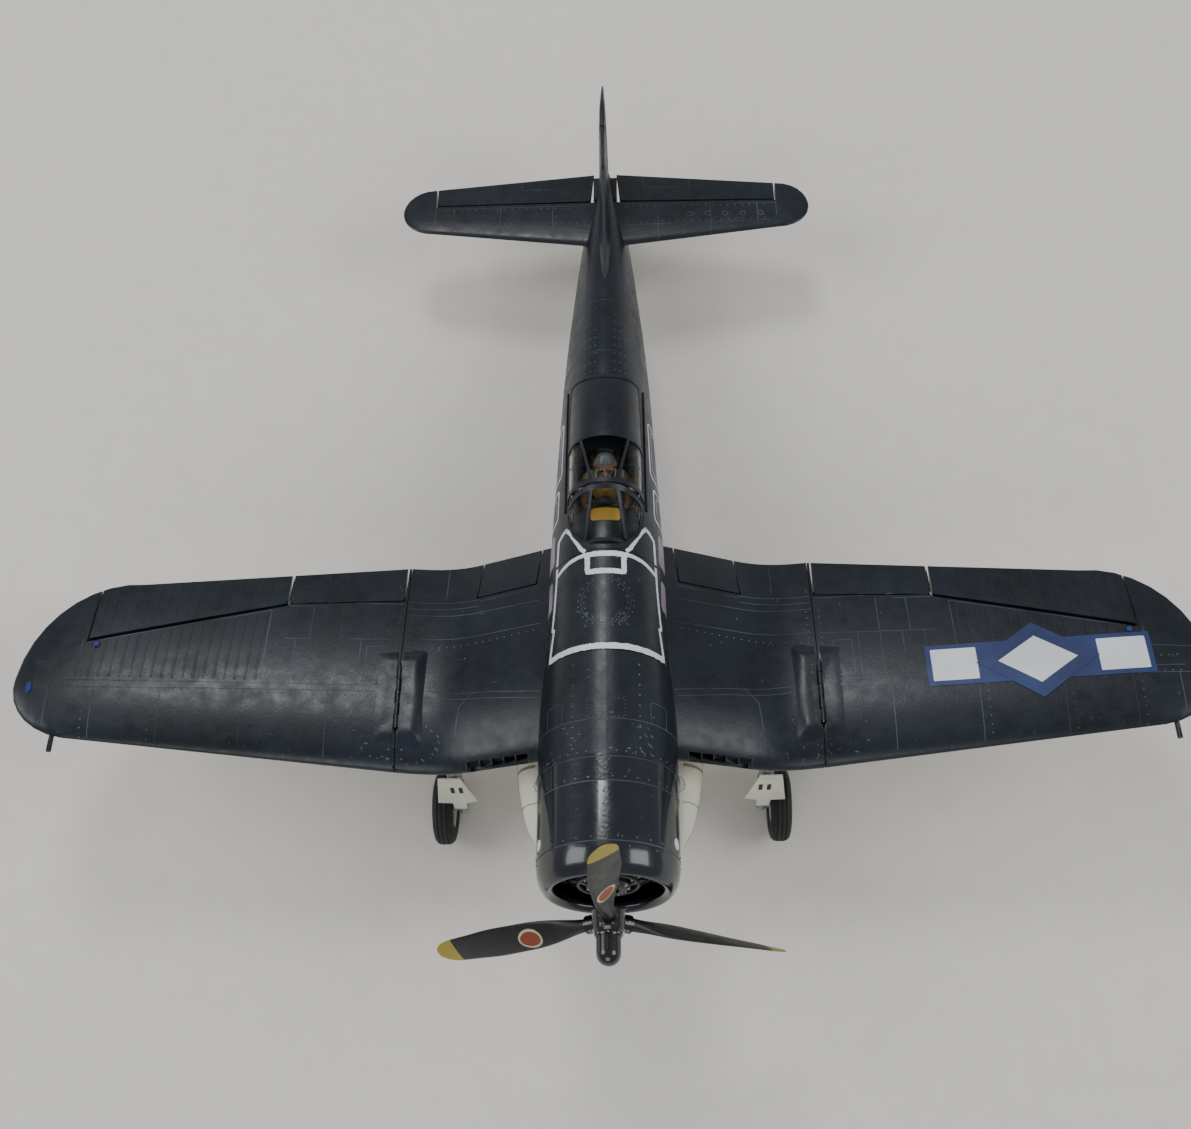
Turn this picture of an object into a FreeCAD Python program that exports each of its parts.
"""Radio-controlled foam model of a gull-winged naval fighter, standing on its three wheels.

The airplane is drawn in its own level axes: X to its left (port) side, Y aft from the tip of the
propeller hub, Z up from the thrust line.  place() then tips each solid nose-up by GROUND_ANGLE and sets
the origin on the floor, under the middle of the airplane.  Sizes are in millimetres.
"""

import FreeCAD
import Part
import math
import os

Vector = FreeCAD.Vector
X_AXIS, Y_AXIS, Z_AXIS = Vector(1, 0, 0), Vector(0, 1, 0), Vector(0, 0, 1)

# ---- overall sizes
HALF_SPAN = 347.0
OVERALL_LENGTH = 566.0
BEHIND_TAIL = OVERALL_LENGTH + 50.0

# ---- clearances
SKIN_GAP = 0.4
HINGE_GAP = 0.7
RUNNING_FIT = 0.06
LOOSE_FIT = 0.5

# ---- fuselage: two foam halves round a hollow
FOAM_WALL = 3.0
COWL_RADIUS = 39.3
FUSELAGE_FRONT = 103.0
DECK_END = 350.0
TAIL_CONE_END = OVERALL_LENGTH - 13.0
COCKPIT_FRONT, COCKPIT_BACK, COCKPIT_HALF_WIDTH = 257.0, 297.0, 20.0
HATCH_FRONT, HATCH_BACK, HATCH_SILL_Z = 166.0, 229.0, 19.0

# ---- power train
HUB_DOME_RADIUS, HUB_DOME_LENGTH = 6.7, 17.0
PROP_PLANE, PROP_RADIUS = 24.0, 113.0
BLADE_COUNT = 3
BLADE_ROOT_RADIUS, BLADE_ROOT_START = 3.7, 9.0
HUB_RADIUS, HUB_HALF_LENGTH = 9.0, 6.5
SHAFT_RADIUS = 2.0
MOTOR_RADIUS, MOTOR_FRONT, MOTOR_BACK = 14.0, 64.0, 85.0
MOTOR_BASE_THICKNESS = 4.0
FIREWALL_THICKNESS = 3.0
MOUNT_SCREW_CIRCLE, MOUNT_SCREW_RADIUS = 11.0, 1.5

# ---- cowl and dummy engine
COWL_LIP_Y, COWL_LIP_RADIUS, COWL_MOUTH_RADIUS = 38.5, 33.0, 29.5
COWL_RING_END, COWL_FLAPS_START = 54.0, 88.0
COWL_WALL = 1.6
ENGINE_CYLINDERS = 9
ENGINE_FACE_Y, ENGINE_CASE_RADIUS, ENGINE_CASE_FRONT = 60.0, 12.5, 42.0
CYLINDER_RADIUS, CYLINDER_FIN_RADIUS, CYLINDER_FINS = 3.6, 5.0, 6

# ---- wing
WING_INCIDENCE = 2.0
WING_STUB_X, ROOT_X, FOLD_X = 18.0, 30.0, 125.0
FOLD_GAP = 0.6
ROOT_LEADING_Y, FOLD_LEADING_Y, TIP_LEADING_Y = 119.0, 122.0, 133.5
ROOT_TRAILING_Y, FOLD_TRAILING_Y = 264.0, 263.5
TIP_START_X = HALF_SPAN - 62.0
TIP_TRAILING_Y = 240.0
TIP_FRONT_X = HALF_SPAN - 37.0
TIP_MIDDLE_Y = 165.0
ROOT_THICKNESS, FOLD_THICKNESS, TIP_THICKNESS = 0.175, 0.15, 0.10
WING_CAMBER = 0.018
TRAILING_EDGE = 0.9
GULL_ROOT_Z, GULL_SLOPE, GULL_BEND_START, GULL_BEND_END = -3.0, -0.42, 80.0, 118.0
GULL_LOW_Z, DIHEDRAL_SLOPE = -28.0, 0.1495
INTAKE_X0, INTAKE_X1, INTAKE_HEIGHT, INTAKE_DEPTH = 46.0, 82.0, 8.0, 9.0
INTAKE_VANES, VANE_THICKNESS = 4, 0.8

# ---- moving surfaces
FLAP_HINGE_Y, FLAP_BREAK_X = 236.0, 197.0
FLAP_INNER_X0, FLAP_INNER_X1 = 41.0, 80.0
AILERON_X1, AILERON_HINGE_Y0, AILERON_HINGE_Y1 = HALF_SPAN - 37.0, 229.0, 195.5
FLAP_DOWN, AILERON_THROW, ELEVATOR_THROW, RUDDER_THROW = 45.0, 18.0, 18.0, 25.0
SURFACE_END_GAP = 1.1
SHARED_END_GAP = 0.7
BEVEL_SPARE = 3.0
BAY_DEPTH, BAY_HEIGHT = 90.0, 20.0

# ---- wing fold
FOLD_ANGLE = 100.0
FOLD_BARREL_RADIUS, FOLD_PIN_RADIUS = 1.3, 0.6
FOLD_BARREL_LENGTH, FOLD_BARRELS = 8.0, 5
FOLD_BARREL_START = 146.0
FOLD_LEAF_WIDTH, FOLD_LEAF_THICKNESS = 7.0, 1.1

# ---- wing joiner and aileron servos
JOINER_RADIUS, JOINER_Y, JOINER_END_X = 3.0, 160.0, 76.0
SERVO_SIZE = (12.0, 23.0, 20.0)
TRAY_TOP_Z, TRAY_THICKNESS, TRAY_FRONT, TRAY_BACK = -3.0, 3.0, 108.0, 312.0
BATTERY_SIZE, CONTROLLER_SIZE, RECEIVER_SIZE = (30.0, 50.0, 19.0), (24.0, 36.0, 8.0), (22.0, 24.0, 10.0)
BATTERY_Y, CONTROLLER_Y, RECEIVER_Y = 200.0, 130.0, 244.0
WING_SERVO_SIZE = (20.0, 22.0, 8.0)
WING_SERVO_X, WING_SERVO_Y = 235.0, 172.0
PITOT_X, PITOT_RADIUS, PITOT_LENGTH = HALF_SPAN - 26.0, 1.5, 11.0

# ---- tail
RUDDER_HINGE_Y = OVERALL_LENGTH - 52.0
ELEVATOR_HINGE_Y = RUDDER_HINGE_Y + 6.0
STABILIZER_Z = 27.0
STABILIZER_HALF_SPAN = 139.5
STABILIZER_ROOT_LEADING, STABILIZER_TIP_LEADING = ELEVATOR_HINGE_Y - 40.0, ELEVATOR_HINGE_Y - 24.0
STABILIZER_ROOT_TRAILING, STABILIZER_TIP_TRAILING = ELEVATOR_HINGE_Y + 28.8, ELEVATOR_HINGE_Y + 16.5
STABILIZER_TIP_START = STABILIZER_HALF_SPAN - 21.0
STABILIZER_TIP_Y = ELEVATOR_HINGE_Y - 5.0
STABILIZER_THICKNESS = 0.10
ELEVATOR_ROOT_X, ELEVATOR_ROOT_BACK_X, ELEVATOR_END_X = 11.0, 6.0, 117.5
FIN_TOP_Z, FIN_ROUND_Z, FIN_ROOT_Z = 106.0, 86.0, 30.0
FIN_ROOT_LEADING, FIN_SHOULDER_LEADING = RUDDER_HINGE_Y - 92.0, RUDDER_HINGE_Y - 22.0
FIN_TOP_Y = RUDDER_HINGE_Y + 20.0
FIN_SHOULDER_TRAILING = OVERALL_LENGTH - 3.0
FIN_ROOT_THICKNESS, FIN_TOP_THICKNESS = 8.0, 3.4
RUDDER_BOTTOM_Z = 38.5
POST_RADIUS, JOINER_WIRE_RADIUS = 1.0, 1.0
TILLER_Z, TILLER_REACH = 6.0, 6.0
HORN_X, HORN_REACH, HORN_RADIUS = -3.2, 10.0, 0.9
HORN_SLOT, HORN_SWING, HORN_TIP_ROOM = 1.5, 4.3, 1.0
SERVO_ARM_REACH, SERVO_ARM_THICKNESS, SERVO_ARM_Y, SERVO_ARM_Z = 10.0, 1.5, 284.0, 6.0
SERVO_X, SERVO_LUG, SERVO_LUG_THICKNESS = 11.0, 4.0, 2.0
PUSHROD_RADIUS, PUSHROD_LIFT, PUSHROD_SHORT = 0.7, 3.0, 6.0

# ---- cockpit
WINDSCREEN_FRONT, HOOD_FRONT, HOOD_BACK = 232.0, 262.5, 350.0
GLAZING_WALL = 1.0
WINDSCREEN_TOP_Z, HOOD_BACK_Z, HOOD_SILL_Z = 64.0, 54.0, 39.3
HOOD_HALF_WIDTH, HOOD_BACK_HALF_WIDTH = 22.0, 20.5
PANEL_HALF_WIDTH, PANEL_TOP_Z, PANEL_THICKNESS = 14.0, 44.0, 1.6
TUB_FLOOR_Z, TUB_WALL = 12.0, 1.5
PILOT_Y, PILOT_HEAD_Z, PILOT_HEAD_RADIUS = 286.0, 51.0, 6.3

# ---- landing gear
STRUT_X, WHEEL_X, AXLE_Y, AXLE_Z = 93.0, 104.0, 128.0, -98.0
TYRE_RADIUS, TYRE_WIDTH, RIM_RADIUS = 22.5, 13.0, 12.0
STRUT_RADIUS, OLEO_RADIUS, AXLE_RADIUS = 4.3, 2.9, 1.6
STRUT_TOP_Z, STRUT_JOINT_Z = -32.0, -72.0
DOOR_THICKNESS, DOOR_Y, DOOR_TYRE_GAP = 1.2, 121.5, 2.5
TAIL_WHEEL_Y, TAIL_WHEEL_RADIUS, TAIL_WHEEL_WIDTH = RUDDER_HINGE_Y - 12.0, 8.0, 5.0
TAIL_AXLE_Z, TAIL_AXLE_RADIUS, TAIL_POST_RADIUS = -29.94, 1.0, 1.5

# ---- drop tanks
TANK_X, TANK_RADIUS, TANK_FRONT, TANK_LENGTH, TANK_WIDEST = 39.5, 16.5, 83.0, 165.0, 0.42
TANK_BELOW_COWL = 9.7
TANK_Z = -COWL_RADIUS - TANK_BELOW_COWL
PYLON_HALF_WIDTH, PYLON_FRONT, PYLON_BACK, PYLON_SUNK = 3.0, 140.0, 200.0, 6.5


# ------------------------------------------------------------------ placing on the floor
def ground_angle():
    """How far the nose stands up, in degrees, with both main wheels and the tail wheel on the floor."""
    reach, rise = TAIL_WHEEL_Y - AXLE_Y, TAIL_AXLE_Z - AXLE_Z
    step = math.asin((TYRE_RADIUS - TAIL_WHEEL_RADIUS) / math.hypot(reach, rise))
    return math.degrees(math.atan2(rise, reach) + step)


GROUND_ANGLE = ground_angle()


def tipped(point):
    """A point of the level airplane after tipping it nose-up."""
    a = math.radians(GROUND_ANGLE)
    return Vector(point.x, point.y * math.cos(a) + point.z * math.sin(a),
                  point.z * math.cos(a) - point.y * math.sin(a))


FLOOR_Z = tipped(Vector(0, AXLE_Y, AXLE_Z)).z - TYRE_RADIUS


def middle_y():
    """Half way from the propeller hub to the furthest point of the rudder, along the floor."""
    front = tipped(Vector(0, HUB_DOME_RADIUS, 0)).y - HUB_DOME_RADIUS
    back = max(tipped(Vector(0, fin_edges(z)[1], z)).y for z in range(int(RUDDER_BOTTOM_Z), int(FIN_TOP_Z)))
    return (front + back) / 2


def place_point(point):
    """Where a point of the level airplane is in the part's own frame."""
    return tipped(point) - Vector(0, middle_y(), FLOOR_Z)


def place(shape):
    """The shape standing on the floor, with the origin under its middle."""
    moved = shape.copy()
    moved.rotate(Vector(0, 0, 0), X_AXIS, -GROUND_ANGLE)
    moved.translate(Vector(0, -middle_y(), -FLOOR_Z))
    return moved


# ------------------------------------------------------------------ small helpers
def box(x0, x1, y0, y1, z0, z1):
    return Part.makeBox(x1 - x0, y1 - y0, z1 - z0, Vector(x0, y0, z0))


def rod(start, end, radius):
    return Part.makeCylinder(radius, (end - start).Length, start, end - start)


def mirrored(shape):
    return shape.mirror(Vector(0, 0, 0), X_AXIS)


def group(*shapes):
    """Several separate solids as one node."""
    solids = [solid for shape in shapes for solid in shape.Solids]
    return Part.makeCompound(solids)


def centred_box(x, y, bottom, size):
    """Box of (width, length, height) about x, y, standing at the height bottom."""
    width, length, height = size
    return box(x - width / 2, x + width / 2, y - length / 2, y + length / 2, bottom, bottom + height)


def ribbed_loft(wires):
    """Solid with straight lines from each section to the next, like a wing over its ribs."""
    return Part.makeLoft(wires, True, True)


def lerp(a, b, t):
    return a + (b - a) * t


def spline(points, start=None, end=None):
    curve = Part.BSplineCurve()
    if start is None:
        curve.interpolate(Points=points)
    else:
        curve.interpolate(Points=points, InitialTangent=start, FinalTangent=end)
    return curve.toShape()


def turned_about_y(profile):
    """Solid of revolution about the thrust line from (radius, y) corners."""
    corners = [Vector(r, y, 0) for r, y in profile]
    face = Part.Face(Part.makePolygon(corners + corners[:1]))
    return face.revolve(Vector(0, 0, 0), Y_AXIS, 360)


# ------------------------------------------------------------------ fuselage shape
def rear_y(share):
    """A station of the rear fuselage, as a share of its length."""
    return lerp(DECK_END, TAIL_CONE_END, share)


# Station, half width, top, bottom and height of the widest point.
FUSELAGE_STATIONS = [
    (FUSELAGE_FRONT, COWL_RADIUS, COWL_RADIUS, -COWL_RADIUS, 0),
    (130, COWL_RADIUS + 0.2, COWL_RADIUS + 0.7, -COWL_RADIUS - 0.2, 0),
    (165, COWL_RADIUS - 1.5, COWL_RADIUS + 1.2, -COWL_RADIUS - 0.2, 0),
    (205, COWL_RADIUS - 4.1, COWL_RADIUS + 1.9, -COWL_RADIUS + 0.3, 0),
    (250, COWL_RADIUS - 4.9, 45.5, -COWL_RADIUS + 1.3, 0),
    (300, 31.8, 50.0, -35.5, 1),
    (DECK_END, 29.2, 51.5, -31.5, 2),
    (rear_y(0.25), 25.8, 47.0, -26.5, 4),
    (rear_y(0.50), 20.8, 41.5, -20.5, 6.5),
    (rear_y(0.74), 14.8, 36.0, -14.0, 9),
    (rear_y(0.91), 8.4, 31.5, -8.5, 11),
    (TAIL_CONE_END, 4.2, 27.5, -2.5, 12),
]


def half_section(y, width, top, bottom, middle, inset):
    """Left half of a fuselage section as a closed wire."""
    points = []
    for i in range(13):
        a = math.radians(90 - 15 * i)
        reach = (top - middle if a > 0 else middle - bottom) - inset
        points.append(Vector((width - inset) * math.cos(a), y, middle + reach * math.sin(a)))
    points[0].x = points[-1].x = 0
    curve = spline(points, X_AXIS, -X_AXIS)
    return Part.Wire([curve, Part.makeLine(points[-1], points[0])])


def half_fuselage(inset=0.0, last=None):
    """Left half of the fuselage as one closed solid, taken in by inset."""
    stations = FUSELAGE_STATIONS[:last]
    return Part.makeLoft([half_section(*s, inset) for s in stations], True, False)


def fuselage_parts(cutters):
    """Left and right foam halves and the top hatch."""
    outer, inner = half_fuselage(), half_fuselage(FOAM_WALL, -1)
    left = outer.cut(inner)
    hatch_zone = box(-60, 60, HATCH_FRONT, HATCH_BACK, HATCH_SILL_Z, 80)
    hatch_cut = box(-60, 60, HATCH_FRONT - SKIN_GAP, HATCH_BACK + SKIN_GAP, HATCH_SILL_Z - SKIN_GAP, 80)
    half_hatch = left.common(hatch_zone)
    hatch = half_hatch.fuse(mirrored(half_hatch)).removeSplitter()
    cockpit = box(-COCKPIT_HALF_WIDTH, COCKPIT_HALF_WIDTH, COCKPIT_FRONT, COCKPIT_BACK, 0, 80)
    left = left.cut([hatch_cut, cockpit])
    right = mirrored(left)
    return {
        "fuselage_left": left.cut(cutters),
        "fuselage_right": right.cut(cutters),
        "top_hatch": hatch,
    }


# ------------------------------------------------------------------ wing shape
def gull_z(x):
    """Height of the wing's chord plane: down to the bend, then up to the tip."""
    if x <= GULL_BEND_START:
        return GULL_ROOT_Z + (x - ROOT_X) * GULL_SLOPE
    if x >= GULL_BEND_END:
        return GULL_LOW_Z + (x - GULL_BEND_END) * DIHEDRAL_SLOPE
    width = GULL_BEND_END - GULL_BEND_START
    t = (x - GULL_BEND_START) / width
    start = GULL_ROOT_Z + (GULL_BEND_START - ROOT_X) * GULL_SLOPE
    return ((2 * t**3 - 3 * t**2 + 1) * start + (t**3 - 2 * t**2 + t) * GULL_SLOPE * width
            + (3 * t**2 - 2 * t**3) * GULL_LOW_Z + (t**3 - t**2) * DIHEDRAL_SLOPE * width)


def wing_edges(x):
    """Leading and trailing edge of the wing at a station."""
    if x <= FOLD_X:
        t = (x - ROOT_X) / (FOLD_X - ROOT_X)
        return lerp(ROOT_LEADING_Y, FOLD_LEADING_Y, t), lerp(ROOT_TRAILING_Y, FOLD_TRAILING_Y, t)
    leading = lerp(FOLD_LEADING_Y, TIP_LEADING_Y, (x - FOLD_X) / (TIP_FRONT_X - FOLD_X))
    trailing = lerp(FOLD_TRAILING_Y, TIP_TRAILING_Y, (x - FOLD_X) / (TIP_START_X - FOLD_X))
    if x > TIP_FRONT_X:
        t = (x - TIP_FRONT_X) / (HALF_SPAN - TIP_FRONT_X)
        leading = TIP_MIDDLE_Y - (TIP_MIDDLE_Y - TIP_LEADING_Y) * math.sqrt(1 - t * t)
    if x > TIP_START_X:
        t = (x - TIP_START_X) / (HALF_SPAN - TIP_START_X)
        trailing = TIP_MIDDLE_Y + (TIP_TRAILING_Y - TIP_MIDDLE_Y) * math.sqrt(1 - t * t)
    return leading, trailing


def wing_thickness(x):
    """Section thickness as a share of the chord, thinned at the rounded tip."""
    if x <= FOLD_X:
        return lerp(ROOT_THICKNESS, FOLD_THICKNESS, (x - ROOT_X) / (FOLD_X - ROOT_X))
    return lerp(FOLD_THICKNESS, TIP_THICKNESS, (x - FOLD_X) / (HALF_SPAN - FOLD_X))


def thickness_at(share, thickness):
    """Half thickness of the section at a share of the chord, for a chord of 1."""
    return 5 * thickness * (0.2969 * math.sqrt(share) - 0.1260 * share - 0.3516 * share**2
                            + 0.2843 * share**3 - 0.1036 * share**4)


def camber_at(share, camber):
    return camber * 4 * share * (1 - share)


def section_points(leading, trailing, thickness, camber, incidence):
    """(y, z) round an airfoil, from the upper trailing edge over the nose to the lower one."""
    chord = trailing - leading
    points = []
    for i in range(-10, 11):
        share = (1 - math.cos(math.pi * abs(i) / 10)) / 2
        side = -1 if i > 0 else 1
        height = thickness_at(share, thickness) * chord + TRAILING_EDGE / 2 * share
        middle = camber_at(share, camber) * chord - math.tan(math.radians(incidence)) * chord * share
        points.append((leading + chord * share, middle + side * height))
    return points


def wing_wire(x, z):
    leading, trailing = wing_edges(x)
    pairs = section_points(leading, trailing, wing_thickness(x), WING_CAMBER, WING_INCIDENCE)
    points = [Vector(x, y, z + h) for y, h in pairs]
    return Part.Wire([spline(points), Part.makeLine(points[-1], points[0])])


def wing_middle(x, y):
    """Height of the wing's mid-thickness line at a place on its plan."""
    leading, trailing = wing_edges(x)
    share = (y - leading) / (trailing - leading)
    rise = camber_at(share, WING_CAMBER) * (trailing - leading)
    return gull_z(x) + rise - math.tan(math.radians(WING_INCIDENCE)) * (y - leading)


def wing_half_height(x, y):
    """Half the wing's thickness at a place on its plan."""
    leading, trailing = wing_edges(x)
    share = (y - leading) / (trailing - leading)
    return thickness_at(share, wing_thickness(x)) * (trailing - leading) + TRAILING_EDGE / 2 * share


def rounding_stations(start, end, count):
    """Stations that close up towards a rounded end, and stop just short of it."""
    return [lerp(start, end, math.sin(math.pi / 2 * 0.95 * i / count)) for i in range(count + 1)]


def inner_wing():
    bend = [lerp(GULL_BEND_START, GULL_BEND_END, i / 7) for i in range(8)]
    stations = [WING_STUB_X, ROOT_X] + bend + [FOLD_X - FOLD_GAP / 2]
    return ribbed_loft([wing_wire(x, gull_z(x)) for x in stations])


def outer_wing():
    stations = [FOLD_X + FOLD_GAP / 2, lerp(FOLD_X, TIP_START_X, 0.5)]
    stations += rounding_stations(TIP_START_X, HALF_SPAN, 9)
    return ribbed_loft([wing_wire(x, gull_z(x)) for x in stations])


# ------------------------------------------------------------------ hinged surfaces
def hinge_frame(start, end):
    """Unit vectors along a hinge line, aft of it and up from it."""
    along = (end - start).normalize()
    aft = (Y_AXIS - along * Y_AXIS.dot(along)).normalize()
    return along, aft, along.cross(aft)


def hinge_prism(start, end, corners, spare=60.0):
    """Prism along a hinge line from (aft, up) corners."""
    along, aft, up = hinge_frame(start, end)
    base = start - along * spare
    points = [base + aft * a + up * u for a, u in corners]
    face = Part.Face(Part.makePolygon(points + points[:1]))
    return face.extrude(along * ((end - start).Length + 2 * spare))


def split_surface(body, start, end, x0, x1, up_throw, down_throw, end_gap=SURFACE_END_GAP):
    """Cuts a hinged surface out of a wing. Returns (what is left, the surface).

    The surface's nose is a wedge with its edge on the hinge line, so it can turn through its throws."""
    depth, height = BAY_DEPTH, BAY_HEIGHT
    over = height * math.tan(math.radians(up_throw + BEVEL_SPARE))
    under = height * math.tan(math.radians(down_throw + BEVEL_SPARE))
    wedge = hinge_prism(start, end, [(0, 0), (over, height), (depth, height), (depth, -height), (under, -height)])
    bay = hinge_prism(start, end, [(-HINGE_GAP, height), (depth, height), (depth, -height), (-HINGE_GAP, -height)])
    slab = box(x0, x1, 0, BEHIND_TAIL, -200, 200)
    inside = box(x0 + SURFACE_END_GAP, x1 - end_gap, 0, BEHIND_TAIL, -200, 200)
    surface = body.common(wedge).common(inside)
    return body.cut(bay.common(slab)), surface


def split_square(body, start, end, throw):
    """Cuts out a surface that only drops, with both ends square to its hinge line."""
    depth, height = BAY_DEPTH, BAY_HEIGHT
    under = height * math.tan(math.radians(throw + BEVEL_SPARE))
    over = height * math.tan(math.radians(BEVEL_SPARE))
    corners = [(0, 0), (over, height), (depth, height), (depth, -height), (under, -height)]
    surface = body.common(hinge_prism(start, end, corners, -SURFACE_END_GAP))
    corners = [(-HINGE_GAP, height), (depth, height), (depth, -height), (-HINGE_GAP, -height)]
    return body.cut(hinge_prism(start, end, corners, 0)), surface


def flap_inner_hinge():
    """The straight hinge line of the inner flap, on the sloping part of the gull wing."""
    return [Vector(x, FLAP_HINGE_Y, wing_middle(x, FLAP_HINGE_Y)) for x in (FLAP_INNER_X0, FLAP_INNER_X1)]


def flap_outer_hinge():
    return [Vector(x, FLAP_HINGE_Y - s, wing_middle(x, FLAP_HINGE_Y - s))
            for x, s in ((FOLD_X + 3, 0.0), (FLAP_BREAK_X, 6.0))]


def aileron_hinge():
    return [Vector(x, y, wing_middle(x, y))
            for x, y in ((FLAP_BREAK_X, AILERON_HINGE_Y0), (AILERON_X1, AILERON_HINGE_Y1))]


# ------------------------------------------------------------------ wing fold
def fold_axis_z():
    """The fold axis lies just above the highest point of the wing at the seam."""
    ys = [FOLD_LEADING_Y + i * 2.0 for i in range(5, 60)]
    top = max(wing_middle(FOLD_X, y) + wing_half_height(FOLD_X, y) for y in ys)
    return top + 0.3


def fold_hinge():
    """Barrels with leaves for the inner and outer panel, and the pin: three lists of solids."""
    z, inner, outer = fold_axis_z(), [], []
    for i in range(FOLD_BARRELS):
        y0 = FOLD_BARREL_START + i * FOLD_BARREL_LENGTH
        y1 = y0 + FOLD_BARREL_LENGTH - 0.4
        start, end = Vector(FOLD_X, y0, z), Vector(FOLD_X, y1, z)
        side = -1 if i % 2 == 0 else 1
        edge, far = sorted((FOLD_X, FOLD_X + side * FOLD_LEAF_WIDTH))
        leaf = box(edge, far, y0, y1, z - FOLD_BARREL_RADIUS, z - FOLD_BARREL_RADIUS + FOLD_LEAF_THICKNESS)
        barrel = rod(start, end, FOLD_BARREL_RADIUS).fuse(leaf)
        barrel = barrel.cut(rod(start - Y_AXIS, end + Y_AXIS, FOLD_PIN_RADIUS + RUNNING_FIT))
        (inner if side < 0 else outer).append(barrel)
    last = FOLD_BARREL_START + FOLD_BARRELS * FOLD_BARREL_LENGTH
    pin = rod(Vector(FOLD_X, FOLD_BARREL_START - 0.5, z), Vector(FOLD_X, last, z), FOLD_PIN_RADIUS)
    room = rod(Vector(FOLD_X, FOLD_BARREL_START - 1, z), Vector(FOLD_X, last + 1, z),
               FOLD_BARREL_RADIUS + SKIN_GAP)
    return inner, outer, pin, room


def wing_parts(left_fuselage):
    """The gull stubs, outer panels, flaps and ailerons for the left side, by name."""
    inner, outer = inner_wing().cut(left_fuselage), outer_wing()
    inner_leaves, outer_leaves, pin, room = fold_hinge()
    inner, inner_flap = split_square(inner, *flap_inner_hinge(), FLAP_DOWN)
    outer, outer_flap = split_surface(outer, *flap_outer_hinge(), FOLD_X + 1.5, FLAP_BREAK_X, 0, FLAP_DOWN,
                                      SHARED_END_GAP)
    outer, aileron = split_surface(outer, *aileron_hinge(), FLAP_BREAK_X, AILERON_X1,
                                   AILERON_THROW, AILERON_THROW)
    strut_hole = rod(Vector(STRUT_X, AXLE_Y, STRUT_TOP_Z), Vector(STRUT_X, AXLE_Y, -80), STRUT_RADIUS)
    inner = inner.cut([room, strut_hole, joiner_arm(), intake_slot()] + inner_leaves)
    outer = outer.cut([room] + outer_leaves)
    servo_z = wing_middle(WING_SERVO_X, WING_SERVO_Y) - wing_half_height(WING_SERVO_X, WING_SERVO_Y)
    servo = centred_box(WING_SERVO_X, WING_SERVO_Y, servo_z, WING_SERVO_SIZE)
    pocket = servo.fuse(servo.translated(Vector(0, 0, -WING_SERVO_SIZE[2])))
    leading, _ = wing_edges(PITOT_X)
    nose = Vector(PITOT_X, leading, wing_middle(PITOT_X, leading) - 2.0)
    pitot = rod(nose + Vector(0, 6, 0), nose - Vector(0, PITOT_LENGTH - 2, 0), PITOT_RADIUS)
    outer = outer.cut([pocket, pitot])
    return {
        "wing_inner": group(inner, *inner_leaves), "wing_outer": group(outer, *outer_leaves, pitot),
        "flap_inner": inner_flap, "flap_outer": outer_flap, "aileron": aileron, "aileron_servo": servo,
        "fold_pins": pin, "intake_vanes": intake_vanes(),
    }


def intake_slot():
    """Slot in the leading edge near the root, following the wing's downward slope."""
    points = []
    for x, side in ((INTAKE_X0, 1), (INTAKE_X1, 1), (INTAKE_X1, -1), (INTAKE_X0, -1)):
        leading, _ = wing_edges(x)
        points.append(Vector(x, leading - 6, gull_z(x) + side * INTAKE_HEIGHT / 2 + 1.5))
    face = Part.Face(Part.makePolygon(points + points[:1]))
    return face.extrude(Vector(0, INTAKE_DEPTH + 6, 0))


def intake_vanes():
    """Upright vanes standing inside the intake slot."""
    slot = intake_slot()
    vanes = []
    for i in range(INTAKE_VANES):
        x = lerp(INTAKE_X0, INTAKE_X1, (i + 1) / (INTAKE_VANES + 1))
        leading, _ = wing_edges(x)
        plate = box(x - VANE_THICKNESS / 2, x + VANE_THICKNESS / 2, leading + 3, leading + INTAKE_DEPTH, -60, 60)
        vanes.append(plate.common(slot))
    return group(*vanes)


def joiner_arm():
    """Half of the bent tube that carries the gull stubs."""
    inboard = Vector(0, JOINER_Y, gull_z(ROOT_X) - ROOT_X * GULL_SLOPE)
    outboard = Vector(JOINER_END_X, JOINER_Y, gull_z(JOINER_END_X))
    return rod(inboard, outboard, JOINER_RADIUS)


def whole_joiner():
    return joiner_arm().fuse(mirrored(joiner_arm())).removeSplitter()


# ------------------------------------------------------------------ tail
def stabilizer_edges(x):
    share = min(x / STABILIZER_TIP_START, 1.2)
    leading = lerp(STABILIZER_ROOT_LEADING, STABILIZER_TIP_LEADING, share)
    trailing = lerp(STABILIZER_ROOT_TRAILING, STABILIZER_TIP_TRAILING, share)
    if x > STABILIZER_TIP_START:
        t = (x - STABILIZER_TIP_START) / (STABILIZER_HALF_SPAN - STABILIZER_TIP_START)
        leading = lerp(STABILIZER_TIP_Y, STABILIZER_TIP_LEADING, math.sqrt(1 - t * t))
        trailing = lerp(STABILIZER_TIP_Y, STABILIZER_TIP_TRAILING, math.sqrt(1 - t * t))
    return leading, trailing


def stabilizer_wire(x):
    leading, trailing = stabilizer_edges(abs(x))
    pairs = section_points(leading, trailing, STABILIZER_THICKNESS, 0, 0)
    points = [Vector(x, y, STABILIZER_Z + h) for y, h in pairs]
    return Part.Wire([spline(points), Part.makeLine(points[-1], points[0])])


def elevator_hinge():
    return [Vector(x, ELEVATOR_HINGE_Y, STABILIZER_Z) for x in (ELEVATOR_ROOT_X, ELEVATOR_END_X)]


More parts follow.
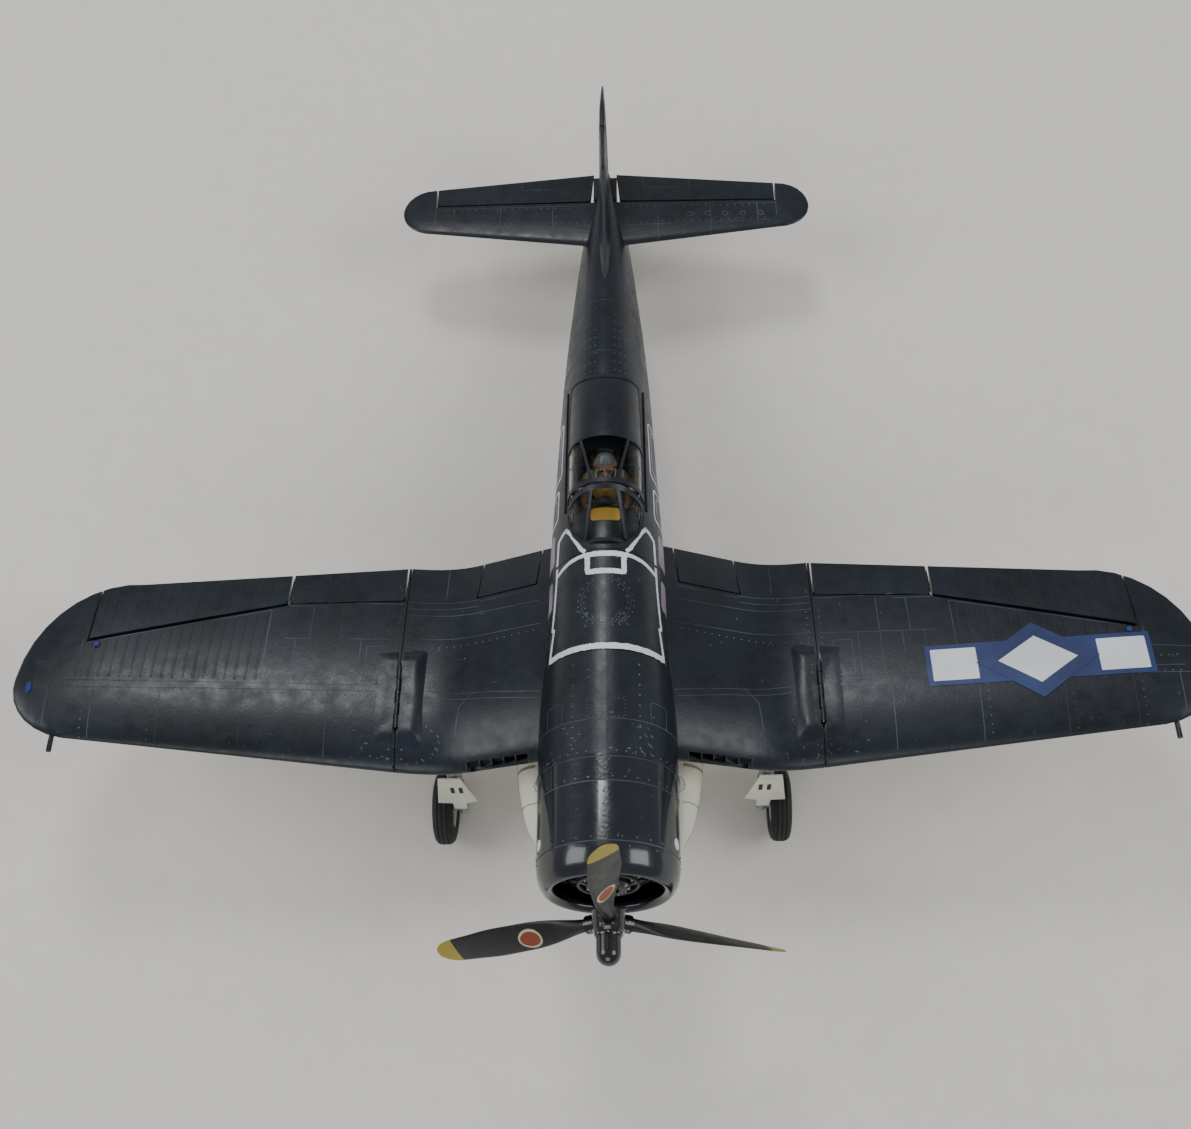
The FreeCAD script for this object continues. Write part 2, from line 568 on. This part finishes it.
def stabilizer_parts():
    """One-piece stabilizer, and the elevators on their joiner wire with the horn."""
    stations = [0] + rounding_stations(STABILIZER_TIP_START, STABILIZER_HALF_SPAN, 6)
    half = ribbed_loft([stabilizer_wire(x) for x in stations])
    half, elevator = split_surface(half, *elevator_hinge(), 0, ELEVATOR_END_X, ELEVATOR_THROW, ELEVATOR_THROW)
    corners = [(ELEVATOR_ROOT_X, ELEVATOR_HINGE_Y - 5), (ELEVATOR_ROOT_BACK_X, OVERALL_LENGTH),
               (STABILIZER_HALF_SPAN, OVERALL_LENGTH), (STABILIZER_HALF_SPAN, ELEVATOR_HINGE_Y - 5)]
    points = [Vector(x, y, 0) for x, y in corners]
    plan = Part.Face(Part.makePolygon(points + points[:1])).extrude(Vector(0, 0, 2 * STABILIZER_Z))
    elevator = elevator.common(plan)
    whole = half.fuse(mirrored(half)).removeSplitter()
    reach = ELEVATOR_ROOT_X + 14
    wire = rod(Vector(-reach, ELEVATOR_HINGE_Y, STABILIZER_Z), Vector(reach, ELEVATOR_HINGE_Y, STABILIZER_Z),
               JOINER_WIRE_RADIUS)
    hub_end = Vector(HORN_X, ELEVATOR_HINGE_Y, STABILIZER_Z)
    horn = rod(hub_end, hub_end - Vector(0, 0, HORN_REACH), HORN_RADIUS)
    room = rod(Vector(-reach - 1, ELEVATOR_HINGE_Y, STABILIZER_Z),
               Vector(reach + 1, ELEVATOR_HINGE_Y, STABILIZER_Z), JOINER_WIRE_RADIUS + LOOSE_FIT)
    post_room = rod(Vector(0, RUDDER_HINGE_Y, 0), Vector(0, RUDDER_HINGE_Y, 60), POST_RADIUS + LOOSE_FIT)
    horn_room = box(HORN_X - HORN_SLOT, HORN_X + HORN_SLOT, ELEVATOR_HINGE_Y - HORN_SWING,
                    ELEVATOR_HINGE_Y + HORN_SWING, STABILIZER_Z - HORN_REACH - HORN_TIP_ROOM, STABILIZER_Z)
    room = room.fuse(horn_room)
    whole = whole.cut([room, post_room])
    surfaces = group(elevator.cut(wire), mirrored(elevator).cut(wire))
    return whole, surfaces, wire.fuse(horn), room


def fin_edges(z):
    """Leading and trailing edge of fin and rudder together at a height."""
    if z <= FIN_ROUND_Z:
        t = (z - FIN_ROOT_Z) / (FIN_ROUND_Z - FIN_ROOT_Z)
        return lerp(FIN_ROOT_LEADING, FIN_SHOULDER_LEADING, t), lerp(OVERALL_LENGTH, FIN_SHOULDER_TRAILING, t**2)
    t = math.sqrt(max(0.0, 1 - ((z - FIN_ROUND_Z) / (FIN_TOP_Z - FIN_ROUND_Z)) ** 2))
    return lerp(FIN_TOP_Y, FIN_SHOULDER_LEADING, t), lerp(FIN_TOP_Y, FIN_SHOULDER_TRAILING, t)


def fin_wire(z):
    leading, trailing = fin_edges(z)
    share = (z - FIN_ROOT_Z) / (FIN_TOP_Z - FIN_ROOT_Z)
    thickness = lerp(FIN_ROOT_THICKNESS, FIN_TOP_THICKNESS, share) / (trailing - leading)
    pairs = section_points(leading, trailing, min(thickness, 0.12), 0, 0)
    points = [Vector(h, y, z) for y, h in pairs]
    return Part.Wire([spline(points), Part.makeLine(points[-1], points[0])])


def fin_parts(left_fuselage):
    """Fin glued on the tail cone, and the rudder on its post with the tiller."""
    heights = [lerp(FIN_ROOT_Z - 4, FIN_ROUND_Z, i / 4) for i in range(4)]
    heights += rounding_stations(FIN_ROUND_Z, FIN_TOP_Z, 7)
    whole = ribbed_loft([fin_wire(z) for z in heights])
    post_line = [Vector(0, RUDDER_HINGE_Y, z) for z in (RUDDER_BOTTOM_Z, FIN_TOP_Z)]
    nose = 12 * math.tan(math.radians(RUDDER_THROW + BEVEL_SPARE))
    y = RUDDER_HINGE_Y
    corners = [Vector(0, y, 0), Vector(12, y + nose, 0), Vector(12, y + 70, 0),
               Vector(-12, y + 70, 0), Vector(-12, y + nose, 0)]
    wedge = Part.Face(Part.makePolygon(corners + corners[:1])).extrude(Vector(0, 0, FIN_TOP_Z + 5))
    wedge = wedge.common(box(-20, 20, 0, BEHIND_TAIL, RUDDER_BOTTOM_Z, FIN_TOP_Z + 5))
    bay = box(-20, 20, y - HINGE_GAP, BEHIND_TAIL, RUDDER_BOTTOM_Z - SKIN_GAP, FIN_TOP_Z + 5)
    rudder, fin = whole.common(wedge), whole.cut(bay)
    post = rod(Vector(0, y, TILLER_Z - 3), post_line[1] - Vector(0, 0, 26), POST_RADIUS)
    tiller = rod(Vector(0, y, TILLER_Z), Vector(TILLER_REACH, y, TILLER_Z), HORN_RADIUS)
    post = post.fuse(tiller)
    room = rod(Vector(0, y, 0), post_line[1], POST_RADIUS + LOOSE_FIT)
    fin = fin.cut([left_fuselage, mirrored(left_fuselage), room])
    return fin, rudder.cut(post), post, room


# ------------------------------------------------------------------ power train
def propeller_blade(angle):
    """One blade, drawn pointing up and turned about the thrust line."""
    stations = [  # radius, chord, thickness, blade angle
        (BLADE_ROOT_START, 2 * BLADE_ROOT_RADIUS, 2 * BLADE_ROOT_RADIUS - 0.02, 58),
        (20, 8.0, 6.0, 56), (32, 12.5, 3.8, 50), (46, 16.5, 2.9, 43), (64, 18.6, 2.3, 36),
        (84, 18.6, 1.9, 30), (99, 17.0, 1.6, 27), (PROP_RADIUS - 5, 13.0, 1.3, 25),
        (PROP_RADIUS - 0.8, 5.5, 1.0, 25)]
    wires = []
    for radius, chord, thickness, pitch in stations:
        a = math.radians(pitch)
        toward = Vector(-math.cos(a), -math.sin(a), 0)
        across = Z_AXIS.cross(toward)
        centre = Vector(0, PROP_PLANE, radius)
        ring = []
        for i in range(16):
            t = math.radians(22.5 * i)
            ring.append(centre + toward * (chord / 2 * math.cos(t)) + across * (thickness / 2 * math.sin(t)))
        curve = Part.BSplineCurve()
        curve.interpolate(Points=ring, PeriodicFlag=True)
        wires.append(Part.Wire([curve.toShape()]))
    blade = Part.makeLoft(wires, True, False)
    blade.rotate(Vector(0, 0, 0), Y_AXIS, angle)
    return blade


def power_parts():
    """Propeller, dummy engine, motor and its mount, all on the thrust line."""
    parts = {}
    front, back = PROP_PLANE - HUB_HALF_LENGTH, PROP_PLANE + HUB_HALF_LENGTH
    hub = turned_about_y([(0, front), (HUB_RADIUS - 1.5, front), (HUB_RADIUS, front + 1.5),
                          (HUB_RADIUS, back - 1.5), (HUB_RADIUS - 1.5, back), (0, back)])
    shaft = rod(Vector(0, PROP_PLANE, 0), Vector(0, MOTOR_BACK + 2, 0), SHAFT_RADIUS)
    blades = []
    for i in range(BLADE_COUNT):
        turn = 360.0 / BLADE_COUNT * i
        blade = propeller_blade(turn)
        socket = Part.makeCylinder(BLADE_ROOT_RADIUS + 1.3, 13, Vector(0, PROP_PLANE, 0), Z_AXIS)
        socket.rotate(Vector(0, 0, 0), Y_AXIS, turn)
        hub = hub.fuse(socket)
        blades.append(blade)
    parts["propeller_blades"] = group(*blades)
    parts["propeller_hub"] = hub.cut(blades + [shaft])
    dome = Part.makeSphere(HUB_DOME_RADIUS, Vector(0, HUB_DOME_RADIUS, 0))
    dome = dome.fuse(rod(Vector(0, HUB_DOME_RADIUS, 0), Vector(0, front, 0), HUB_DOME_RADIUS))
    parts["hub_dome"] = dome.common(box(-20, 20, -5, front, -20, 20))
    can = turned_about_y([(0, MOTOR_FRONT), (MOTOR_RADIUS - 3, MOTOR_FRONT), (MOTOR_RADIUS, MOTOR_FRONT + 3),
                          (MOTOR_RADIUS, MOTOR_BACK - LOOSE_FIT), (0, MOTOR_BACK - LOOSE_FIT)])
    parts["motor_can"] = can.cut(shaft)
    parts["motor_shaft"] = shaft
    base_back = MOTOR_BACK + MOTOR_BASE_THICKNESS
    base = rod(Vector(0, MOTOR_BACK, 0), Vector(0, base_back, 0), MOTOR_RADIUS)
    parts["motor_base"] = base.cut(rod(Vector(0, MOTOR_BACK - 1, 0), Vector(0, base_back, 0),
                                       SHAFT_RADIUS + RUNNING_FIT))
    plate_back = base_back + 2
    plate = rod(Vector(0, base_back, 0), Vector(0, plate_back, 0), MOTOR_RADIUS + 2)
    posts, screws = [], []
    for i in range(4):
        a = math.radians(45 + 90 * i)
        x, z = MOUNT_SCREW_CIRCLE * math.cos(a), MOUNT_SCREW_CIRCLE * math.sin(a)
        posts.append(rod(Vector(x, plate_back, z), Vector(x, FUSELAGE_FRONT, z), 3.0))
        head = rod(Vector(x, FUSELAGE_FRONT + FIREWALL_THICKNESS, z),
                   Vector(x, FUSELAGE_FRONT + FIREWALL_THICKNESS + 2, z), 2.6)
        screws.append(rod(Vector(x, plate_back + 1, z), Vector(x, FUSELAGE_FRONT + FIREWALL_THICKNESS, z),
                          MOUNT_SCREW_RADIUS).fuse(head))
    mount = plate.fuse(posts).cut(screws)
    parts["motor_mount"] = mount
    parts["mount_screws"] = group(*screws)
    ring = rod(Vector(0, FUSELAGE_FRONT, 0), Vector(0, FUSELAGE_FRONT + FIREWALL_THICKNESS, 0),
               COWL_RADIUS - FOAM_WALL - SKIN_GAP)
    parts["firewall"] = ring.cut(screws)
    return parts


def cowl_parts():
    """Nose ring, cowl shell and cowl flap ring, each a thin turned shell."""
    wall, outer, inner = COWL_WALL, COWL_RADIUS, COWL_RADIUS - COWL_WALL
    y0, y1 = COWL_LIP_Y, COWL_RING_END
    outline = [Vector(outer, y1, 0), Vector(outer - 0.9, y0 + 7.5, 0), Vector(outer - 3.2, y0 + 2.2, 0),
               Vector(COWL_LIP_RADIUS, y0, 0), Vector(COWL_MOUTH_RADIUS + 0.8, y0 + 1.5, 0),
               Vector(COWL_MOUTH_RADIUS, y0 + 5, 0)]
    front = spline(outline, Vector(0, -1, 0), Vector(0, 1, 0))
    back_points = [outline[-1], Vector(COWL_MOUTH_RADIUS + 2, y0 + 6, 0), Vector(inner, y0 + 10, 0),
                   Vector(inner, y1, 0), outline[0]]
    edges = [front] + [Part.makeLine(a, b) for a, b in zip(back_points, back_points[1:])]
    ring = Part.Face(Part.Wire(edges)).revolve(Vector(0, 0, 0), Y_AXIS, 360)
    shell = turned_about_y([(inner, y1), (outer, y1), (outer, COWL_FLAPS_START), (inner, COWL_FLAPS_START)])
    flaps = turned_about_y([(inner, COWL_FLAPS_START), (outer, COWL_FLAPS_START), (outer + 0.5, FUSELAGE_FRONT),
                            (inner, FUSELAGE_FRONT)])
    return {"cowl_nose_ring": ring, "cowl_shell": shell, "cowl_flap_ring": flaps}


def dummy_engine():
    """Moulded radial engine face: back plate, crankcase and finned cylinders."""
    plate = rod(Vector(0, ENGINE_FACE_Y, 0), Vector(0, ENGINE_FACE_Y + 1.5, 0), COWL_RADIUS - COWL_WALL - 0.1)
    case = turned_about_y([(0, ENGINE_CASE_FRONT), (5.5, ENGINE_CASE_FRONT), (8, ENGINE_CASE_FRONT + 4),
                           (ENGINE_CASE_RADIUS, ENGINE_FACE_Y - 8), (ENGINE_CASE_RADIUS, ENGINE_FACE_Y),
                           (0, ENGINE_FACE_Y)])
    engine = plate.fuse(case)
    y = ENGINE_FACE_Y - CYLINDER_FIN_RADIUS
    top = COWL_RADIUS - COWL_WALL - 5.0
    for i in range(ENGINE_CYLINDERS):
        barrel = rod(Vector(0, y, ENGINE_CASE_RADIUS - 2), Vector(0, y, top), CYLINDER_RADIUS)
        for k in range(CYLINDER_FINS):
            z = lerp(ENGINE_CASE_RADIUS + 1, top - 1.6, k / (CYLINDER_FINS - 1))
            barrel = barrel.fuse(rod(Vector(0, y, z), Vector(0, y, z + 1.2), CYLINDER_FIN_RADIUS))
        barrel.rotate(Vector(0, 0, 0), Y_AXIS, 360.0 / ENGINE_CYLINDERS * i)
        engine = engine.fuse(barrel)
    bore = rod(Vector(0, 0, 0), Vector(0, MOTOR_FRONT, 0), SHAFT_RADIUS + LOOSE_FIT)
    return engine.cut(bore)


# ------------------------------------------------------------------ cockpit
def arch_wire(y, half_width, sill, top):
    """Closed section of a glazed hood: an arch on a flat sill."""
    points = []
    for i in range(13):
        a = math.radians(15 * i)
        points.append(Vector(half_width * math.cos(a), y, sill + (top - sill) * math.sin(a) ** 0.9))
    return Part.Wire([spline(points), Part.makeLine(points[-1], points[0])])


def glazing(stations):
    """A clear shell lofted over arch sections, open below and at both ends."""
    outer = Part.makeLoft([arch_wire(*s) for s in stations], True, False)
    thin = [(y, w - GLAZING_WALL, sill - 2, top - GLAZING_WALL) for y, w, sill, top in stations]
    ends = [(thin[0][0] - 1, *thin[0][1:])] + thin[1:-1] + [(thin[-1][0] + 1, *thin[-1][1:])]
    return outer.cut(Part.makeLoft([arch_wire(*s) for s in ends], True, False))


def cockpit_parts(left_fuselage):
    hull = [left_fuselage, mirrored(left_fuselage)]
    hood = glazing([(HOOD_FRONT, HOOD_HALF_WIDTH, HOOD_SILL_Z, WINDSCREEN_TOP_Z),
                    (290, HOOD_HALF_WIDTH, HOOD_SILL_Z, WINDSCREEN_TOP_Z - 0.5),
                    (322, HOOD_HALF_WIDTH - 0.5, HOOD_SILL_Z, 60.0),
                    (HOOD_BACK, HOOD_BACK_HALF_WIDTH, HOOD_SILL_Z, HOOD_BACK_Z)])
    screen = glazing([(WINDSCREEN_FRONT, 13.0, 30.0, 43.0), (242, 18.5, 30.0, 51.0),
                      (HOOD_FRONT - 2 * SKIN_GAP, HOOD_HALF_WIDTH, 30.0, WINDSCREEN_TOP_Z)])
    screen = screen.cut(hull)
    x, w, f = COCKPIT_HALF_WIDTH - SKIN_GAP, TUB_WALL, TUB_FLOOR_Z
    y0, y1 = COCKPIT_FRONT + SKIN_GAP, COCKPIT_BACK - SKIN_GAP
    tub = box(-x, x, y0, y1, f, 34).cut(box(-x + w, x - w, y0 + w, y1 - w, f + w, 60))
    seat_back = box(-8, 8, y1 - w - 2, y1 - w, f + w, 46)
    tub = tub.fuse(seat_back)
    panel = box(-PANEL_HALF_WIDTH, PANEL_HALF_WIDTH, y0 + w, y0 + w + PANEL_THICKNESS, f + w, PANEL_TOP_Z)
    crown = rod(Vector(0, 0, PANEL_TOP_Z - PANEL_HALF_WIDTH - 4), Vector(0, y1, PANEL_TOP_Z - PANEL_HALF_WIDTH - 4),
                PANEL_HALF_WIDTH + 4)
    panel = panel.common(crown.fuse(box(-20, 20, 0, y1, f, PANEL_TOP_Z - PANEL_HALF_WIDTH)))
    body = Part.makeCone(11.0, 6.5, 26, Vector(0, PILOT_Y, f + w), Z_AXIS)
    body = body.common(box(-12, 12, PILOT_Y - 7, PILOT_Y + 6, 0, 80))
    head = Part.makeSphere(PILOT_HEAD_RADIUS, Vector(0, PILOT_Y - 0.5, PILOT_HEAD_Z))
    neck = rod(Vector(0, PILOT_Y, 38), Vector(0, PILOT_Y, PILOT_HEAD_Z - 4), 3.0)
    return {"canopy_hood": hood, "windscreen": screen, "cockpit_tub": tub, "instrument_panel": panel,
            "pilot": body.fuse([head, neck]).cut(tub)}


# ------------------------------------------------------------------ equipment in the fuselage
def equipment_tray(left_hollow):
    """Plywood tray from wall to wall of the hollow fuselage."""
    slab = box(0, 60, TRAY_FRONT, TRAY_BACK, TRAY_TOP_Z - TRAY_THICKNESS, TRAY_TOP_Z)
    half = left_hollow.common(slab)
    return half.fuse(mirrored(half)).removeSplitter()


def servo_block(x):
    """Servo hanging through the tray, with its lugs on top of the tray."""
    width, length, height = SERVO_SIZE
    top, middle = SERVO_ARM_Z - 1.5, SERVO_ARM_Y - 6 + length / 2
    lugs = centred_box(x, middle, TRAY_TOP_Z, (width, length + 2 * SERVO_LUG, SERVO_LUG_THICKNESS))
    return centred_box(x, middle, top - height, SERVO_SIZE).fuse(lugs)


def servo_arm(x, side):
    """Arm with its output shaft, reaching sideways so that it pulls along the fuselage."""
    hub = rod(Vector(x, SERVO_ARM_Y, SERVO_ARM_Z - 1.4),
              Vector(x, SERVO_ARM_Y, SERVO_ARM_Z + SERVO_ARM_THICKNESS), 2.4)
    arm = box(min(x, x + side * SERVO_ARM_REACH), max(x, x + side * SERVO_ARM_REACH),
              SERVO_ARM_Y - 1.6, SERVO_ARM_Y + 1.6, SERVO_ARM_Z, SERVO_ARM_Z + SERVO_ARM_THICKNESS)
    return hub.fuse(arm)


def pushrod(side, end):
    """Wire from over the servo arm on one side to just short of the horn or tiller at end."""
    start = Vector(side * (SERVO_X - SERVO_ARM_REACH + 2), SERVO_ARM_Y + 2, SERVO_ARM_Z + PUSHROD_LIFT)
    return rod(start, end - Vector(0, PUSHROD_SHORT, 0), PUSHROD_RADIUS)


def equipment_parts(left_hollow):
    servos = [servo_block(-SERVO_X), servo_block(SERVO_X)]
    horn_end = Vector(HORN_X, ELEVATOR_HINGE_Y, STABILIZER_Z - HORN_REACH + 1)
    tiller_end = Vector(TILLER_REACH, RUDDER_HINGE_Y, TILLER_Z)
    return {
        "equipment_tray": equipment_tray(left_hollow).cut(servos + [whole_joiner()]),
        "battery": centred_box(0, BATTERY_Y, TRAY_TOP_Z, BATTERY_SIZE),
        "speed_controller": centred_box(0, CONTROLLER_Y, TRAY_TOP_Z, CONTROLLER_SIZE),
        "receiver": centred_box(0, RECEIVER_Y, TRAY_TOP_Z, RECEIVER_SIZE),
        "tail_servos": group(*servos),
        "elevator_servo_arm": servo_arm(-SERVO_X, 1),
        "rudder_servo_arm": servo_arm(SERVO_X, -1),
        "elevator_pushrod": pushrod(-1, horn_end),
        "rudder_pushrod": pushrod(1, tiller_end),
    }


# ------------------------------------------------------------------ landing gear and tanks
def gear_parts():
    """Left leg with its axle, the door in front of it, and the wheel."""
    top = rod(Vector(STRUT_X, AXLE_Y, STRUT_TOP_Z), Vector(STRUT_X, AXLE_Y, STRUT_JOINT_Z), STRUT_RADIUS)
    oleo = rod(Vector(STRUT_X, AXLE_Y, STRUT_JOINT_Z), Vector(STRUT_X, AXLE_Y, AXLE_Z), OLEO_RADIUS)
    foot = Part.makeSphere(OLEO_RADIUS + 0.6, Vector(STRUT_X, AXLE_Y, AXLE_Z))
    half = TYRE_WIDTH / 2
    axle = rod(Vector(STRUT_X, AXLE_Y, AXLE_Z), Vector(WHEEL_X + half, AXLE_Y, AXLE_Z), AXLE_RADIUS)
    cap = rod(Vector(WHEEL_X + half - 0.7, AXLE_Y, AXLE_Z), Vector(WHEEL_X + half + 0.5, AXLE_Y, AXLE_Z),
              AXLE_RADIUS + 1)
    strut = top.fuse([oleo, foot, axle, cap])
    foot_z = AXLE_Z + TYRE_RADIUS + DOOR_TYRE_GAP
    corners = [(-5, -38), (8.5, -38), (12.5, foot_z), (3.5, foot_z - 1), (3.5, foot_z - 10), (-4.5, foot_z - 10),
               (-4.5, foot_z - 1), (-12, foot_z + 2)]
    points = [Vector(STRUT_X + x, DOOR_Y, z) for x, z in corners]
    door = Part.Face(Part.makePolygon(points + points[:1])).extrude(Vector(0, DOOR_THICKNESS, 0))
    bracket = box(STRUT_X - 2, STRUT_X + 2, DOOR_Y + DOOR_THICKNESS, AXLE_Y, -62, -56)
    door = door.fuse(bracket).cut(strut)
    bore = rod(Vector(WHEEL_X - half, AXLE_Y, AXLE_Z), Vector(WHEEL_X + half, AXLE_Y, AXLE_Z),
               AXLE_RADIUS + RUNNING_FIT)
    wheel_half = half - 1.0
    hub = rod(Vector(WHEEL_X - wheel_half, AXLE_Y, AXLE_Z), Vector(WHEEL_X + wheel_half, AXLE_Y, AXLE_Z), RIM_RADIUS)
    tread = [(RIM_RADIUS, -half + 2), (TYRE_RADIUS - 4.5, -half), (TYRE_RADIUS - 1.2, -half + 3),
             (TYRE_RADIUS, -half + 5.5), (TYRE_RADIUS, half - 5.5), (TYRE_RADIUS - 1.2, half - 3),
             (TYRE_RADIUS - 4.5, half), (RIM_RADIUS, half - 2)]
    outline = [Vector(WHEEL_X + a, AXLE_Y + r, AXLE_Z) for r, a in tread]
    tyre = Part.Face(Part.makePolygon(outline + outline[:1])).revolve(
        Vector(WHEEL_X, AXLE_Y, AXLE_Z), X_AXIS, 360)
    return strut, door, hub.cut(bore), tyre


def tail_wheel_parts():
    y, z, half = TAIL_WHEEL_Y, TAIL_AXLE_Z, TAIL_WHEEL_WIDTH / 2
    gap = half + 0.4
    post = rod(Vector(0, y, z + TAIL_WHEEL_RADIUS + 2), Vector(0, y, 0), TAIL_POST_RADIUS)
    crown = box(-gap - 1, gap + 1, y - 3, y + 3, z + TAIL_WHEEL_RADIUS + 1, z + TAIL_WHEEL_RADIUS + 3)
    cheeks = [box(s * gap - (1 if s < 0 else 0), s * gap + (0 if s < 0 else 1), y - 2, y + 2,
                  z - 2, z + TAIL_WHEEL_RADIUS + 3) for s in (-1, 1)]
    axle = rod(Vector(-gap, y, z), Vector(gap, y, z), TAIL_AXLE_RADIUS)
    fork = post.fuse([crown, *cheeks, axle])
    wheel = rod(Vector(-half, y, z), Vector(half, y, z), TAIL_WHEEL_RADIUS)
    wheel = wheel.makeFillet(1.4, [e for e in wheel.Edges if abs(e.Length - 2 * math.pi * TAIL_WHEEL_RADIUS) < 0.1])
    wheel = wheel.cut(rod(Vector(-half - 1, y, z), Vector(half + 1, y, z), TAIL_AXLE_RADIUS + RUNNING_FIT))
    hole = rod(Vector(0, y, -40), Vector(0, y, 2), TAIL_POST_RADIUS + LOOSE_FIT)
    return fork, wheel, hole


def drop_tank(wing, hull):
    """Teardrop tank and its pylon, for the left side."""
    widest = TANK_FRONT + TANK_LENGTH * TANK_WIDEST
    nose = [Vector(TANK_RADIUS * math.sin(a), widest - (widest - TANK_FRONT) * math.cos(a), 0)
            for a in (math.radians(15 * i) for i in range(7))]
    tail_length = TANK_LENGTH * (1 - TANK_WIDEST)
    tail = [Vector(TANK_RADIUS * math.cos(math.radians(15 * i)), widest + tail_length * i / 6, 0) for i in range(1, 7)]
    profile = nose + tail
    curve = spline(profile, X_AXIS, Vector(-TANK_RADIUS * math.pi / 2, tail_length, 0))
    face = Part.Face(Part.Wire([curve, Part.makeLine(profile[-1], profile[0])]))
    tank = face.revolve(Vector(0, 0, 0), Y_AXIS, 360)
    tank.translate(Vector(TANK_X, 0, TANK_Z))
    top = gull_z(TANK_X) - PYLON_SUNK
    pylon = box(TANK_X - PYLON_HALF_WIDTH, TANK_X + PYLON_HALF_WIDTH, PYLON_FRONT, PYLON_BACK, TANK_Z, top)
    return tank, pylon.cut([tank, wing, hull])


# ------------------------------------------------------------------ the whole airplane
def both_sides(shape):
    return group(shape, mirrored(shape))


def build():
    """Every sub-part by node name, in the level airplane's axes."""
    hull, left_hollow = half_fuselage(), half_fuselage(FOAM_WALL, -1)
    wing = wing_parts(hull)
    stabilizer, elevators, elevator_joiner, wire_room = stabilizer_parts()
    fin, rudder, rudder_post, post_room = fin_parts(hull)
    fork, tail_wheel, fork_hole = tail_wheel_parts()
    strut, door, rim, tyre = gear_parts()
    tank, pylon = drop_tank(wing["wing_inner"], hull)
    parts = fuselage_parts([stabilizer, wire_room, post_room, fork_hole, whole_joiner()])
    for made in (power_parts(), cowl_parts(), cockpit_parts(hull), equipment_parts(left_hollow)):
        parts.update(made)
    parts.update({
        "dummy_engine": dummy_engine(), "wing_joiner": whole_joiner(),
        "stabilizer": stabilizer, "elevators": elevators, "elevator_joiner": elevator_joiner,
        "fin": fin.cut(stabilizer), "rudder": rudder, "rudder_post": rudder_post,
        "tail_fork": fork, "tail_wheel": tail_wheel,
        "gear_struts": both_sides(strut), "gear_doors": both_sides(door.cut(wing["wing_inner"])),
        "drop_tanks": both_sides(group(tank, pylon)),
        "fold_pins": both_sides(wing.pop("fold_pins")),
        "intake_vanes": both_sides(wing.pop("intake_vanes")),
    })
    for name, shape in (*wing.items(), ("wheel_rim", rim), ("wheel_tyre", tyre)):
        parts[name + "_left"] = shape
        parts[name + "_right"] = mirrored(shape)
    return parts


def main():
    os.makedirs("parts", exist_ok=True)
    for name, shape in build().items():
        solids = place(shape).Solids
        faulty = "" if solids and all(s.isValid() and s.Volume > 0 for s in solids) else "INVALID"
        print(f"{name}: {len(solids)} solid(s), {sum(s.Volume for s in solids) / 1000:.2f} cm3", faulty)
        node = solids[0] if len(solids) == 1 else Part.makeCompound(solids)
        node.exportStep(f"parts/{name}.step")


if __name__ == "__main__":
    main()
